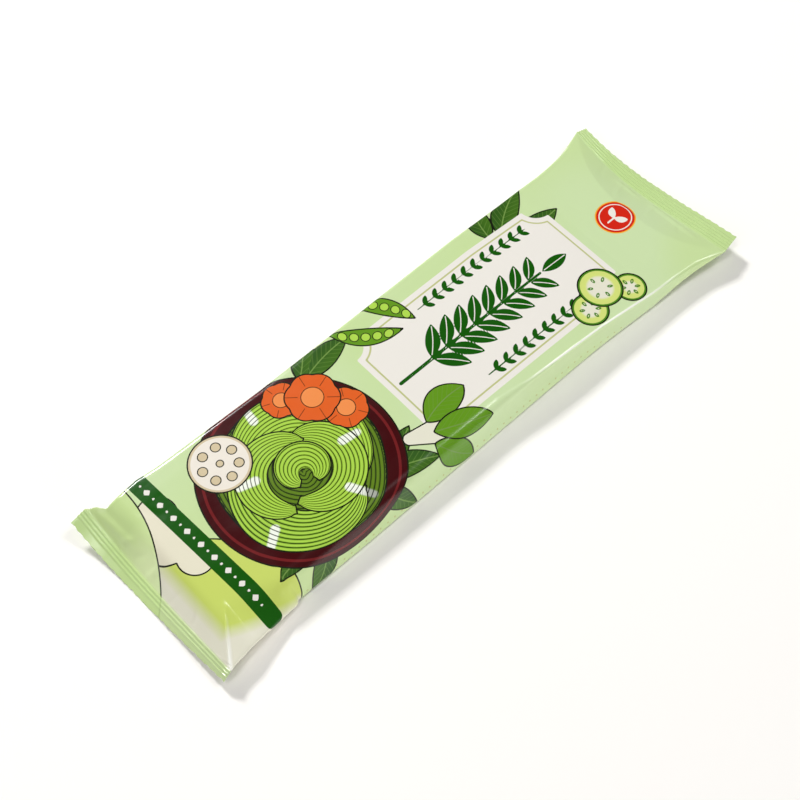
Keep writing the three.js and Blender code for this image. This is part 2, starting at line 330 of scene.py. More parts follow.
def film_faces(points, around):
    """The quads of the tube, and the triangles that close it at its two cut edges."""
    row_count, column_count = around.shape
    index = np.arange(row_count * column_count).reshape(row_count, column_count)
    turned = np.roll(index, -1, axis=1)
    quads = np.stack([index[:-1], index[1:], turned[1:], turned[:-1]], -1).reshape(-1, 4)
    caps = []
    for row, outward in ((0, 1), (row_count - 1, -1)):
        on_top = np.abs(around[row]) <= HALF_FLAT
        y = points[row, :, 1]
        top = sorted(np.flatnonzero(on_top), key=lambda k: y[k])
        under = [top[0], *sorted(np.flatnonzero(~on_top), key=lambda k: y[k]), top[-1]]
        caps += zip_edges(index[row], y, top, under, outward)
    return quads, np.array(caps)


def zip_edges(index, y, top, under, outward):
    """Triangles between two lines of points that start and end together."""
    triangles = []
    a = b = 0
    while a < len(top) - 1 or b < len(under) - 1:
        step_top = b == len(under) - 1 or (a < len(top) - 1 and y[top[a + 1]] <= y[under[b + 1]])
        third = top[a + 1] if step_top else under[b + 1]
        corners = [index[top[a]], index[third], index[under[b]]]
        a, b = (a + 1, b) if step_top else (a, b + 1)
        if len(set(corners)) == 3:
            triangles.append(corners[::outward])
    return triangles


# ---------------------------------------------------------------- the print, as signed distances
# A place on the print is p across, to the right of the reader, and q up, towards the far end. Shapes
# are distances to their outlines, below 0 inside.


def rotated(p, q, at, angle):
    """Coordinates along and beside an axis that starts at a place and points at an angle from +p."""
    dp, dq = p - at[0], q - at[1]
    turn = math.radians(angle)
    return dp * math.cos(turn) + dq * math.sin(turn), dq * math.cos(turn) - dp * math.sin(turn)


def disc(p, q, at, radius):
    return np.hypot(p - at[0], q - at[1]) - radius


def repeated(place, pitch):
    """A place, measured from the nearest whole number of pitches."""
    return (place + pitch / 2) % pitch - pitch / 2


def plaque(p, q, at, half_width, half_height, notch):
    """A rectangle with a round notch out of each corner."""
    across, up = np.abs(p - at[0]) - half_width, np.abs(q - at[1]) - half_height
    return np.maximum(np.maximum(across, up), notch - np.hypot(across, up))


def stroke(p, q, at, angle, length, start_width, end_width):
    """A straight stroke with round ends."""
    along, beside = rotated(p, q, at, angle)
    part = np.clip(along / length, 0, 1)
    return np.hypot(along - part * length, beside) - lerp(start_width, end_width, part) / 2


def leaf(p, q, at, angle, length, width, bend=0.0, heavy=0.0):
    """A pointed leaf: its distance, the place beside its midrib and the place along it."""
    along, beside = rotated(p, q, at, angle)
    part = np.clip(along / length, 0, 1)
    beside = beside - bend * 4 * part * (1 - part)
    squeezed = beside / (1 + heavy * (1 - 2 * part))
    radius = (length**2 + width**2) / (4 * width)
    distance = np.hypot(along - length / 2, np.abs(squeezed) + radius - width / 2) - radius
    return distance, beside, along


def nearest(shapes):
    """Several shapes as one: for each place the values of the shape that it is deepest in."""
    stack = [np.stack(values) for values in zip(*shapes)]
    best = np.argmin(stack[0], axis=0)[None]
    return [np.take_along_axis(values, best, axis=0)[0] for values in stack]


def strands(p, q, at, radius, width, start, sweep, count, ragged=0.0):
    """A crescent of noodles round a centre: its distance, and a number that grows by 1 a noodle."""
    dp, dq = p - at[0], q - at[1]
    angle = (np.degrees(np.arctan2(dq, dp)) - start) % 360
    angle = np.where(angle > sweep / 2 + 180, angle - 360, angle)
    part = np.clip(angle / sweep, 0, 1)
    swell = np.sin(math.pi * np.clip(part, 0.02, 0.98)) ** 0.45  # from one blunt tip to the other
    half = width / 2 * (1 if sweep >= 360 else swell)
    half = half + ragged * np.sin(np.radians(angle) * 5)
    offset = np.hypot(dp, dq) - radius
    outside = np.maximum(-angle, angle - sweep) if sweep < 360 else np.full(angle.shape, -1.0)
    distance = np.maximum(np.abs(offset) - half, np.radians(outside) * radius)
    return distance, offset / half * count / 2


# The inks, as red, green and blue bytes.
INK = {
    "ground": (199, 219, 169), "ground_warm": (190, 214, 138), "seal": (187, 212, 143),
    "hill": (193, 215, 148), "hill_shine_ink": (214, 231, 172), "cloud": (226, 221, 198),
    "meadow": (196, 211, 104), "meadow_pale": (224, 222, 203),
    "line": (24, 30, 16), "band": (20, 84, 8), "cream": (231, 227, 219), "olive": (186, 190, 132),
    "maroon": (62, 9, 13), "maroon_light": (110, 30, 32), "gloss": (240, 245, 232),
    "noodle": (140, 183, 48), "noodle_light": (170, 210, 78), "noodle_deep": (108, 152, 36),
    "orange": (220, 96, 38), "orange_light": (236, 142, 78),
    "root": (233, 226, 214), "root_shade": (208, 192, 158),
    "leaf": (50, 88, 30), "leaf_vein": (112, 146, 70), "fresh": (96, 146, 30),
    "rind": (70, 126, 30), "flesh": (206, 218, 120),
    "red": (206, 38, 22), "gold": (238, 168, 48), "pale": (248, 248, 240),
}
# The layout of the print, in millimetres on the film.
BAND_MIDDLE, BAND_LEAN, BAND_HEIGHT, BAND_HALF_WIDTH = -90.9, 0.058, 6.3, 32.5
ORNAMENT_PITCH, ORNAMENT_HALF_WIDTH, DIAMOND_SIZE, BAND_DOT_RADIUS = 6.0, 28.5, 1.25, 0.45
TRAY_AT, TRAY_RADIUS = (1.5, -52.3), 33.0
PANEL_AT, PANEL_HALF, PANEL_NOTCH = (0.0, 30.5), (22.5, 44.0), 6.5
BADGE_AT, BADGE_RADIUS = (0.0, 91.5), 7.2
WALL_DOT_AT, WALL_DOT_PITCH, WALL_DOT_RADIUS, WALL_DOTS_HALF = 36.2, 3, 0.4, 76.5
# The labels on the back: how far they are from the back seam's middle, and half their sides.
BACK_LABEL_AT, BACK_LABEL_HALF = 15.5, (9.0, 62.0)
BODY_MIDDLE = -11.0  # of the labels on the back and of the rows of dots, along the pack
# Where the right top edge lies on the print, and how much of it gets a painted highlight, a pale line
# along it.
RIGHT_HIGHLIGHT_LINE = ((18, 26.3), (30, 26.9), (54, 28.0), (72, 29.4), (88, 31.0))
HIGHLIGHT_MIDDLE, HIGHLIGHT_HALF_LENGTH, HIGHLIGHT_HALF_WIDTH = 55.0, 36.0, 0.42


def paint_hills(p, q):
    """A meadow, a cloud and a hill between the band and the near seal, with a painted shine: a lighter
    patch on the hill.
    """
    puffs = (((-16.0, -95.0), 6.5), ((-7.0, -97.0), 7.5), ((2.0, -94.5), 6.0))
    towards_seal = -103.8 - q
    towards_wall = 0.915 * (p - 25.3) - 0.4 * (q + 103.3)
    return {
        "meadow": disc(p, q, (27.0, -112.0), 36.0),
        "meadow_edge": np.maximum(towards_seal, towards_wall),
        "cloud": np.minimum.reduce([disc(p, q, at, radius) for at, radius in puffs]),
        "hill": disc(p, q, (-28.0, -139.0), 42.0),
        "hill_painted_shine": disc(p, q, (-4.0, -107.0), 8.0),
    }


def paint_band(p, q):
    """A band with round ends, and a row of diamonds with dots between them."""
    up = q - (BAND_MIDDLE + BAND_LEAN * p)
    beside = np.maximum(np.abs(p) - BAND_HALF_WIDTH, 0)
    diamond = np.abs(repeated(p, ORNAMENT_PITCH)) + np.abs(up) - DIAMOND_SIZE
    dot = np.hypot((p % ORNAMENT_PITCH) - ORNAMENT_PITCH / 2, up) - BAND_DOT_RADIUS
    ornament = np.maximum(np.minimum(diamond, dot), np.abs(p) - ORNAMENT_HALF_WIDTH)
    return {"band": np.hypot(beside, up) - BAND_HEIGHT / 2, "ornament": ornament}


def paint_tray(p, q):
    return {"tray": disc(p, q, TRAY_AT, TRAY_RADIUS)}


CRESCENTS = (  # centre from the tray's, radius, width, start, sweep, noodles, ragged
    ((0.0, 0.0), 13.4, 26.8, 0, 360, 19, 0.5),
    ((-2.5, 1.5), 17.6, 15.4, 25, 215, 11, 0.2),
    ((2.5, -1.5), 18.0, 14.2, 200, 200, 10, 0.2),
    ((1.5, 3.0), 12.0, 11.0, 300, 230, 8, 0.0),
    ((-1.0, -4.0), 12.0, 10.4, 120, 210, 8, 0.0),
    ((0.5, 0.5), 5.0, 9.8, 10, 300, 7, 0.0),
)
GLOSS_MARKS = (  # start from the tray's centre, angle, length
    ((-16.5, 12.5), 128, 9.0), ((14.5, 7.0), 30, 8.0), ((10.0, -19.0), -52, 8.5),
    ((-6.5, -13.0), -105, 5.5), ((-23.0, 0.0), 172, 5.0), ((1.0, 16.0), 80, 5.5),
)


def on_tray(offset):
    return TRAY_AT[0] + offset[0], TRAY_AT[1] + offset[1]


def paint_nest(p, q):
    """Crescents of noodles, each over the one before, and the gloss on them."""
    fields = {}
    for number, (offset, *rest) in enumerate(CRESCENTS):
        distance, strand = strands(p, q, on_tray(offset), *rest)
        fields[f"nest_{number}"], fields[f"strand_{number}"] = distance, strand
    gloss = [stroke(p, q, on_tray(offset), angle, length, 3.0, 2.4)
             for offset, angle, length in GLOSS_MARKS]
    fields["gloss"] = np.minimum.reduce(gloss)
    return fields


CARROTS = (  # centre, radius, turn
    ((-21.5, -41.0), 6.4, 0.9), ((-5.5, -27.5), 7.2, 0.5), ((-15.5, -33.0), 8.8, 0.2),
)
# A carrot slice's notches, how far its petals go beyond them, and its core, as shares of its radius.
CARROT_NOTCH, CARROT_PETAL, CARROT_CORE = 0.94, 0.085, 0.42


def paint_carrots(p, q):
    """Carrot slices cut as flowers, each over the one before."""
    fields = {}
    for number, (at, radius, turn) in enumerate(CARROTS):
        dp, dq = p - at[0], q - at[1]
        angle = np.arctan2(dq, dp) + turn
        reach = np.hypot(dp, dq)
        petal = CARROT_NOTCH + CARROT_PETAL * np.abs(np.cos(3 * angle))
        fields[f"carrot_{number}"] = reach - radius * petal
        fields[f"carrot_core_{number}"] = reach - radius * CARROT_CORE
        fields[f"carrot_ray_{number}"] = reach * np.sin(3 * angle) / 3
    return fields


def paint_root(p, q):
    """A slice of lotus root: a pale disc with round holes."""
    at, radius = (-17.0, -69.5), 10.0
    hole_count, ring_radius, hole_radius, middle_hole_radius = 7, 5.9, 1.6, 1.2
    holes = [disc(p, q, at, middle_hole_radius)]
    for turn in np.arange(hole_count) * 2 * math.pi / hole_count:
        hole_at = (at[0] + ring_radius * math.cos(turn), at[1] + ring_radius * math.sin(turn))
        holes.append(disc(p, q, hole_at, hole_radius))
    return {"root": disc(p, q, at, radius), "root_hole": np.minimum.reduce(holes)}


LEAF_SLANT, BLADE_SLANT = 1.1, 1.2  # how far side veins run along a leaf for each 1 beside its midrib


def paint_leaves(p, q):
    """Dark leaves behind the tray and beside the label."""
    places = [  # base, angle, length, width, bend
        ((19.0, -38.0), 68, 23.0, 9.0, 1.2), ((21.0, -40.0), 30, 20.0, 8.0, -1.0),
        ((17.0, -34.0), 104, 17.0, 7.0, -1.0), ((25.0, -62.0), -38, 19.0, 8.5, 1.2),
        ((24.0, -66.0), -84, 15.0, 6.5, -0.8), ((-22.0, -30.0), 98, 20.0, 8.5, 1.0),
        ((-23.0, -32.0), 140, 18.0, 8.0, -1.2), ((-19.0, 55.0), 122, 24.0, 9.0, 1.5),
        ((-17.0, 58.0), 88, 21.0, 8.0, -1.2), ((-21.0, 52.0), 160, 18.0, 8.0, 1.0),
    ]
    distance, rib, along = nearest([leaf(p, q, at, *rest, heavy=0.15) for at, *rest in places])
    return {"leaf": distance, "leaf_rib": rib, "leaf_vein": along - LEAF_SLANT * np.abs(rib)}


def paint_ear(p, q):
    """An ear of wheat along the label's middle line, its grains smaller towards the tip."""
    foot, first, pitch, pairs = -8.0, 5.0, 6.3, 8
    length, width, splay = 12.5, 5.0, 48
    grains = []
    for pair in range(pairs):
        size = 1 - 0.03 * pair
        for side in (-1, 1):
            base, angle = (side * 0.5, first + pair * pitch), 90 - side * splay
            grains.append(leaf(p, q, base, angle, length * size, width * size, side * 0.5, 0.1))
    grains.append(leaf(p, q, (0.0, first + pairs * pitch), 90, 11.5, 4.8))
    distance, rib, _ = nearest(grains)
    stem = stroke(p, q, (0.0, foot - 1), 90, first - foot + pairs * pitch, 1.3, 0.9)
    return {"ear": np.minimum(distance, stem), "ear_rib": rib}


def paint_sprigs(p, q):
    """A slim sprig on each side of the ear."""
    across, stem_at = np.abs(p), 16.6
    leaves = [leaf(across, q, (stem_at, place), angle, 3.8, 1.7)[0]
              for place in np.arange(17.0, 62.0, 4.4) for angle in (48, 132)]
    stem = stroke(across, q, (stem_at, 14.0), 90, 50.0, 0.5, 0.4)
    return {"sprig": np.minimum.reduce([*leaves, stem])}


SLICES = (((21.0, 56.5), 6.2), ((23.3, 73.5), 5.5), ((17.0, 65.5), 7.6))  # centre, radius


def paint_slices(p, q):
    """Cucumber slices at the label's far right corner, each with six seeds."""
    sector = math.pi / 3
    seed_at, seed_stretch, seed_size = 0.45, 1.9, 0.42
    fields = {}
    for number, (at, radius) in enumerate(SLICES):
        dp, dq = p - at[0], q - at[1]
        reach, angle = np.hypot(dp, dq), np.arctan2(dq, dp)
        turned = repeated(angle, sector)
        out, beside = reach * np.cos(turned) - radius * seed_at, reach * np.sin(turned)
        seed = np.hypot(out / seed_stretch, beside) - seed_size
        fields[f"slice_{number}"], fields[f"slice_seed_{number}"] = reach - radius, seed
    return fields


BLADES = ((36, 18.0, -1.2), (96, 18.0, 1.2), (66, 21.0, 0.0))  # angle, length, bend


def paint_greens(p, q):
    """A leafy green with pale stalks, at the label's near right corner."""
    foot, blade_start, blade_width = (16.5, -20.5), 8, 10.5
    stalks = [stroke(p, q, foot, angle, 13.0, 4.4, 2.4) for angle in (48, 66, 84)]
    fields = {"stalk": np.minimum.reduce(stalks)}
    for number, (angle, length, bend) in enumerate(BLADES):
        turn = math.radians(angle)
        base = (foot[0] + blade_start * math.cos(turn), foot[1] + blade_start * math.sin(turn))
        distance, rib, along = leaf(p, q, base, angle, length, blade_width, bend)
        fields[f"blade_{number}"], fields[f"blade_rib_{number}"] = distance, rib
        fields[f"blade_vein_{number}"] = along - BLADE_SLANT * np.abs(rib)
    return fields


PODS = (((-30.0, -14.0), 52, 25.0, -2.2), ((-33.0, -1.0), 34, 22.0, 2.0))  # base, angle, length, bend


def paint_pods(p, q):
    """Two pea pods at the label's near left corner, with five peas in each."""
    pod_width, pea_pitch, pea_radius, row_half = 6.4, 3.8, 1.55, 2.5
    pods = []
    for at, angle, length, bend in PODS:
        distance, beside, along = leaf(p, q, at, angle, length, pod_width, bend)
        from_middle = along - length / 2
        pea = np.hypot(repeated(from_middle, pea_pitch), beside) - pea_radius
        pods.append((distance, np.maximum(pea, np.abs(from_middle) - pea_pitch * row_half)))
    distance, pea = nearest(pods)
    return {"pod": distance, "pea": pea}


def paint_badge(p, q):
    """A round badge with a seedling."""
    sprout = [leaf(p, q, (BADGE_AT[0], BADGE_AT[1] - 0.6), angle, 4.9, 2.6, 0.4 * side)[0]
              for angle, side in ((38, -1), (142, 1))]
    stem = stroke(p, q, (BADGE_AT[0], BADGE_AT[1] - 3.6), 90, 3.2, 0.7, 0.6)
    return {"badge": disc(p, q, BADGE_AT, BADGE_RADIUS), "sprout": np.minimum.reduce([*sprout, stem])}


def paint_crease_highlights(p, q):
    """Painted highlights along the hardest creases: a long pale line on the right top edge and a short
    tapered stroke on the near right ridge.
    """
    line = np.abs(p - along_pack(RIGHT_HIGHLIGHT_LINE, q))
    ends = np.abs(q - HIGHLIGHT_MIDDLE) - HIGHLIGHT_HALF_LENGTH
    return {
        "crease": np.maximum(line - HIGHLIGHT_HALF_WIDTH, ends / 8),
        "crease_highlight_fade": ends,
        "wedge_highlight": stroke(p, q, (21.0, -98.8), -36, 16.5, 0.0, 1.3),
    }


def paint_rest(p, q):
    """The label, the plain labels on the back, the dots on the walls, the seals and the back seam."""
    from_seam = FLAT_WIDTH - np.abs(p)
    from_middle = np.abs(q - BODY_MIDDLE)
    beside_label = np.abs(from_seam - BACK_LABEL_AT) - BACK_LABEL_HALF[0]
    dot = np.hypot(np.abs(p) - WALL_DOT_AT, repeated(q, WALL_DOT_PITCH)) - WALL_DOT_RADIUS
    return {
        "panel": plaque(p, q, PANEL_AT, *PANEL_HALF, PANEL_NOTCH),
        "back_label": np.maximum(beside_label, from_middle - BACK_LABEL_HALF[1]),
        "wall_dot": np.maximum(dot, from_middle - WALL_DOTS_HALF),
        "seal": SEAL_START - np.abs(q),
        "seam": from_seam - SEAM_WIDTH / 2,
        "along": q,
    }


PAINTERS = (
    paint_hills, paint_band, paint_tray, paint_nest, paint_carrots, paint_root, paint_leaves, paint_ear,
    paint_sprigs, paint_slices, paint_greens, paint_pods, paint_badge, paint_crease_highlights, paint_rest,
)


def film_mesh():
    """The film's mesh, with the print's distances on its points and a flat layout for baking."""
    points, along, around = film_grid()
    low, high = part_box("pack")
    middle = (np.array(low) + np.array(high)) / 2 / MM
    for axis in (0, 1):
        points[..., axis] += middle[axis] - (points[..., axis].min() + points[..., axis].max()) / 2
    points[..., 2] -= points[..., 2].min()
    quads, caps = film_faces(points, around)
    mesh = bpy.data.meshes.new("film")
    mesh.from_pydata((points.reshape(-1, 3) * MM).tolist(), [], quads.tolist() + caps.tolist())
    add_flat_layout(mesh, along, around, len(quads))
    add_values(mesh, "film_place", np.stack([along, around, np.zeros_like(along)], -1))
    p, q = -around.reshape(-1), along.reshape(-1)
    for painter in PAINTERS:
        for name, distance in painter(p, q).items():
            add_values(mesh, name, distance)
    mesh.shade_smooth()
    mesh.set_sharp_from_angle(angle=math.radians(SHARP_ANGLE))
    mesh.update()
    return mesh


def add_values(mesh, name, values):
    """Keeps a number, or three, on each point of the mesh."""
    several = values.shape[-1] == 3 and values.ndim > 1
    attribute = mesh.attributes.new(name, "FLOAT_VECTOR" if several else "FLOAT", "POINT")
    attribute.data.foreach_set("vector" if several else "value", values.astype(np.float32).ravel())


def add_flat_layout(mesh, along, around, quad_count):
    """The film cut open along its back seam and laid flat, its printed face wider than its back."""
    column_count = along.shape[1]
    corners = np.empty(len(mesh.loops), dtype=np.int32)
    mesh.loops.foreach_get("vertex_index", corners)
    u = 0.5 + along.reshape(-1)[corners] / (LENGTH + 2 * LAYOUT_MARGIN)
    place = around.reshape(-1)[corners]
    wraps = np.zeros(len(corners), dtype=bool)
    first = corners[: quad_count * 4].reshape(-1, 4) % column_count
    wraps[: quad_count * 4] = ((first == 0) & (first.max(axis=1) == column_count - 1)[:, None]).ravel()
    place = np.where(wraps, np.abs(place), place)
    v = np.interp(place, [-FLAT_WIDTH, -WALL_TO, WALL_TO, FLAT_WIDTH], LAYOUT_HEIGHTS)
    layer = mesh.uv_layers.new(name="OFBake")
    layer.data.foreach_set("uv", np.stack([u, v], -1).astype(np.float32).ravel())


# ---------------------------------------------------------------- materials


def linear(rgb):
    """A colour given as three bytes, as Blender's linear numbers."""
    return [((c / 255 + 0.055) / 1.055) ** 2.4 if c > 10 else c / 255 / 12.92 for c in rgb] + [1.0]


class Nodes:
    """Short names for the nodes that the print is made of."""

    def __init__(self, owner):
        owner.use_nodes = True
        self.tree = owner.node_tree
        self.tree.nodes.clear()

    def new(self, kind, **settings):
        node = self.tree.nodes.new(kind)
        for name, value in settings.items():
            setattr(node, name, value)
        return node

    def set(self, socket, value):
        if isinstance(value, bpy.types.NodeSocket):
            self.tree.links.new(value, socket)
        else:
            socket.default_value = value

    def value(self, name):
        return self.new("ShaderNodeAttribute", attribute_name=name).outputs["Fac"]

    def place(self, name):
        return self.new("ShaderNodeAttribute", attribute_name=name).outputs["Vector"]

    def math(self, operation, *values):
        node = self.new("ShaderNodeMath", operation=operation)
        for socket, value in zip(node.inputs, values):
            self.set(socket, value)
        return node.outputs[0]

    def spread(self, value, start, end, low, high, shape="LINEAR"):
        """Goes from low to high while a value goes from start to end."""
        node = self.new("ShaderNodeMapRange", interpolation_type=shape)
        for socket, number in zip(node.inputs, (value, start, end, low, high)):
            self.set(socket, number)
        return node.outputs[0]

    def below(self, value, edge=0.0, soft=0.05):
        """1 where a value is below an edge, 0 above it."""
        return self.spread(value, edge + soft, edge - soft, 0.0, 1.0)

    def line(self, value, half_width, at=0.0):
        """1 within a half width of where a value passes a number."""
        shifted = self.math("SUBTRACT", value, at) if at else value
        return self.below(self.math("ABSOLUTE", shifted), half_width)

    def mix(self, share, first, second):
        node = self.new("ShaderNodeMix", data_type="RGBA")
        self.set(node.inputs[0], share)
        self.set(node.inputs[6], first)
        self.set(node.inputs[7], second)
        return node.outputs[2]

    def noise(self, place, scale, detail=2.0, stretch=None):
        if stretch:
            mapping = self.new("ShaderNodeMapping")
            self.set(mapping.inputs["Vector"], place)
            mapping.inputs["Scale"].default_value = stretch
            place = mapping.outputs[0]
        node = self.new("ShaderNodeTexNoise")
        self.set(node.inputs["Vector"], place)
        node.inputs["Scale"].default_value = scale
        node.inputs["Detail"].default_value = detail
        return node.outputs["Fac"]


OUTLINE = 0.24  # half the width of the print's dark outlines
VEIN_PITCH = 2.2  # from one side vein of a leaf to the next
FLOOR_COLOUR = (0.94, 0.92, 0.89, 1)
FLOOR_GLOW, FLOOR_GLOW_COLOUR = 0.03, (1, 0.995, 0.98, 1)


def ink(name):
    return linear(INK[name])


def filled(n, base, name, colour, outlined=False):
    """Lays an ink over what is there, inside a shape."""
    distance = n.value(name)
    base = n.mix(n.below(distance), base, colour)
    return n.mix(n.line(distance, OUTLINE), base, ink("line")) if outlined else base


def ground_colour(n, place):
    patch = n.below(n.noise(place, 0.018, 1.0), 0.52, 0.12)
    colour = n.mix(patch, ink("ground"), n.mix(0.45, ink("ground"), ink("ground_warm")))
    label = n.value("back_label")
    colour = n.mix(n.below(label), colour, ink("cream"))
    return n.mix(n.line(label, 0.25, -1.6), colour, ink("olive"))


def hill_colours(n, base):
    fade = n.spread(n.value("meadow_edge"), -2.0, 2.0, 0.0, 1.0)
    base = filled(n, base, "meadow", n.mix(fade, ink("meadow"), ink("meadow_pale")), True)
    base = filled(n, base, "cloud", ink("cloud"), True)
    # Painted shine: the hill turns to a lighter green in one soft round patch on the near slope.
    shine = n.spread(n.value("hill_painted_shine"), 8.0, -4.0, 0.0, 1.0)
    return filled(n, base, "hill", n.mix(shine, ink("hill"), ink("hill_shine_ink")), True)


def leaf_colours(n, base, names, colour):
    """Leaves with a midrib and side veins, fresher on one side of the midrib."""
    distance, beside, vein = [n.value(name) for name in names]
    inside = n.below(distance, -0.5)
    side_vein = n.below(n.math("PINGPONG", vein, VEIN_PITCH / 2), 0.14, 0.1)
    colour = n.mix(n.math("MULTIPLY", side_vein, 0.45), ink(colour), ink("leaf_vein"))
    colour = n.mix(n.math("MULTIPLY", n.below(beside, 0.0, 2.2), 0.22), colour, ink("fresh"))
    base = n.mix(n.below(distance), base, colour)
    base = n.mix(n.math("MULTIPLY", n.line(beside, 0.2), inside), base, ink("leaf_vein"))
    return n.mix(n.line(distance, OUTLINE), base, ink("line"))


def nest_colours(n, base):
    """Noodles with a dark line between each two, in deeper greens in crescents 0 and 2."""
    gloss = n.below(n.value("gloss"), 0.0, 0.3)
    for number in range(len(CRESCENTS)):
        strand = n.value(f"strand_{number}")
        middle = n.math("PINGPONG", strand, 0.5)
        low = "noodle_deep" if number in (0, 2) else "noodle"
        high = "noodle" if number == 0 else "noodle_light"
        colour = n.mix(n.below(middle, 0.24, 0.14), ink(high), ink(low))
        colour = n.mix(gloss, colour, ink("gloss"))
        colour = n.mix(n.below(middle, 0.1, 0.05), colour, ink("line"))
        base = filled(n, base, f"nest_{number}", colour, True)
    return base


def carrot_colours(n, base):
    for number in range(len(CARROTS)):
        core = n.value(f"carrot_core_{number}")
        colour = n.mix(n.below(core, 0.0, 0.3), ink("orange"), ink("orange_light"))
        colour = n.mix(n.line(core, 0.14), colour, ink("line"))
        ray = n.line(n.value(f"carrot_ray_{number}"), 0.12)
        outside_core = n.spread(core, 0.9, 1.1, 0.0, 0.8)
        colour = n.mix(n.math("MULTIPLY", ray, outside_core), colour, ink("line"))
        base = filled(n, base, f"carrot_{number}", colour, True)
    return base


def root_colours(n, base):
    hole = n.value("root_hole")
    colour = n.mix(n.below(n.value("root"), -0.9, 0.1), ink("root_shade"), ink("root"))
    colour = n.mix(n.below(hole), colour, ink("root_shade"))
    colour = n.mix(n.line(hole, 0.17), colour, ink("line"))
    return filled(n, base, "root", colour, True)


def tray_colours(n, base):
    tray = n.value("tray")
    colour = n.mix(n.line(tray, 0.45, -2.4), ink("maroon"), ink("maroon_light"))
    return filled(n, base, "tray", colour, True)


def slice_colours(n, base):
    for number in range(len(SLICES)):
        distance = n.value(f"slice_{number}")
        colour = n.mix(n.below(distance, -0.8, 0.1), ink("rind"), ink("flesh"))
        colour = n.mix(n.below(distance, -3.1, 0.5), colour, ink("meadow_pale"))
        colour = n.mix(n.line(n.value(f"slice_seed_{number}"), 0.16), colour, ink("rind"))
        base = filled(n, base, f"slice_{number}", colour, True)
    return base


def pod_colours(n, base):
    pea = n.value("pea")
    colour = n.mix(n.below(pea), ink("fresh"), ink("noodle_light"))
    colour = n.mix(n.line(pea, 0.15), colour, ink("line"))
    return filled(n, base, "pod", colour, True)


def label_colours(n, base):
    panel = n.value("panel")
    base = n.mix(n.below(panel), base, ink("cream"))
    base = n.mix(n.line(panel, 0.3, -2.3), base, ink("olive"))
    ear = n.value("ear")
    base = n.mix(n.below(ear), base, ink("band"))
    base = filled(n, base, "sprig", ink("band"))
    inside = n.below(ear, -0.45)
    return n.mix(n.math("MULTIPLY", n.line(n.value("ear_rib"), 0.16), inside), base, ink("cream"))


def badge_colours(n, base):
    badge = n.value("badge")
    base = n.mix(n.below(badge), base, ink("gold"))
    base = n.mix(n.below(badge, -0.45), base, ink("red"))
    base = n.mix(n.line(badge, 0.2, -1.5), base, ink("cream"))
    return n.mix(n.below(n.value("sprout")), base, ink("cream"))


def crease_highlight_colours(n, base):
    """Painted highlights: pale ink along the hardest creases, most in the middle of the long one."""
    share = n.spread(n.value("crease_highlight_fade"), 0.0, -16.0, 0.0, 0.9)
    base = n.mix(n.math("MULTIPLY", n.below(n.value("crease"), 0.0, 0.2), share), base, ink("pale"))
    share = n.spread(n.value("along"), -99.0, -105.0, 0.0, 0.85)
    return n.mix(n.math("MULTIPLY", n.below(n.value("wedge_highlight"), 0.0, 0.4), share), base, ink("pale"))


def print_colour(n, place):
    """All the inks, from the lowest to the topmost."""
    colour = ground_colour(n, place)
    colour = filled(n, colour, "wall_dot", ink("olive"))
    colour = hill_colours(n, colour)
    colour = leaf_colours(n, colour, ("leaf", "leaf_rib", "leaf_vein"), "leaf")
    colour = tray_colours(n, colour)
    colour = nest_colours(n, colour)
    colour = root_colours(n, colour)
    colour = carrot_colours(n, colour)
    colour = filled(n, colour, "band", ink("band"))
    colour = filled(n, colour, "ornament", ink("cream"))
    colour = label_colours(n, colour)
    colour = slice_colours(n, colour)
    colour = pod_colours(n, colour)
    colour = filled(n, colour, "stalk", ink("meadow_pale"), True)
    for number in range(len(BLADES)):
        names = (f"blade_{number}", f"blade_rib_{number}", f"blade_vein_{number}")
        colour = leaf_colours(n, colour, names, "fresh")
    colour = badge_colours(n, colour)
    colour = crease_highlight_colours(n, colour)
    # Painted shade: the seals are mostly covered with a darker green ink than the ground.
    return n.mix(n.math("MULTIPLY", n.below(n.value("seal"), 0.0, 0.3), 0.85), colour, ink("seal"))


def film_material():
    """Printed film with a soft gloss, fine creases, streaks along the noodles and a crimped seam."""
    material = bpy.data.materials.new("printed_film")
    n = Nodes(material)
    place = n.place("film_place")
    shader = n.new("ShaderNodeBsdfPrincipled")
    n.set(shader.inputs["Base Color"], print_colour(n, place))
    smudges = n.noise(place, 0.12, 3.0)
    n.set(shader.inputs["Roughness"], n.spread(smudges, 0.3, 0.7, 0.16, 0.22))
    shader.inputs["Specular IOR Level"].default_value = 0.5
    creases = n.math("MULTIPLY", n.noise(place, 0.9, 2.0), 0.15)
    streaks = n.noise(place, 0.35, 1.0, (0.05, 1.0, 1.0))
    crimps = n.math("PINGPONG", n.value("along"), SEAM_PITCH / 2)
    crimps = n.math("MULTIPLY", crimps, n.below(n.value("seam")))
    height = n.math("ADD", n.math("ADD", creases, streaks), crimps)
    bump = n.new("ShaderNodeBump")
    bump.inputs["Strength"].default_value = 0.25
    bump.inputs["Distance"].default_value = 0.15 * MM
    n.set(bump.inputs["Height"], height)
    n.set(shader.inputs["Normal"], bump.outputs[0])
    output = n.new("ShaderNodeOutputMaterial")
    n.set(output.inputs["Surface"], shader.outputs[0])
    return material


def floor_material():
    material = bpy.data.materials.new("pale_floor")
    n = Nodes(material)
    shader = n.new("ShaderNodeBsdfPrincipled")
    shader.inputs["Base Color"].default_value = FLOOR_COLOUR
    shader.inputs["Roughness"].default_value = 0.9
    shader.inputs["Specular IOR Level"].default_value = 0.1
    shader.inputs["Emission Color"].default_value = FLOOR_GLOW_COLOUR
    shader.inputs["Emission Strength"].default_value = FLOOR_GLOW
    output = n.new("ShaderNodeOutputMaterial")
    n.set(output.inputs["Surface"], shader.outputs[0])
    return material


# ---------------------------------------------------------------- the scene


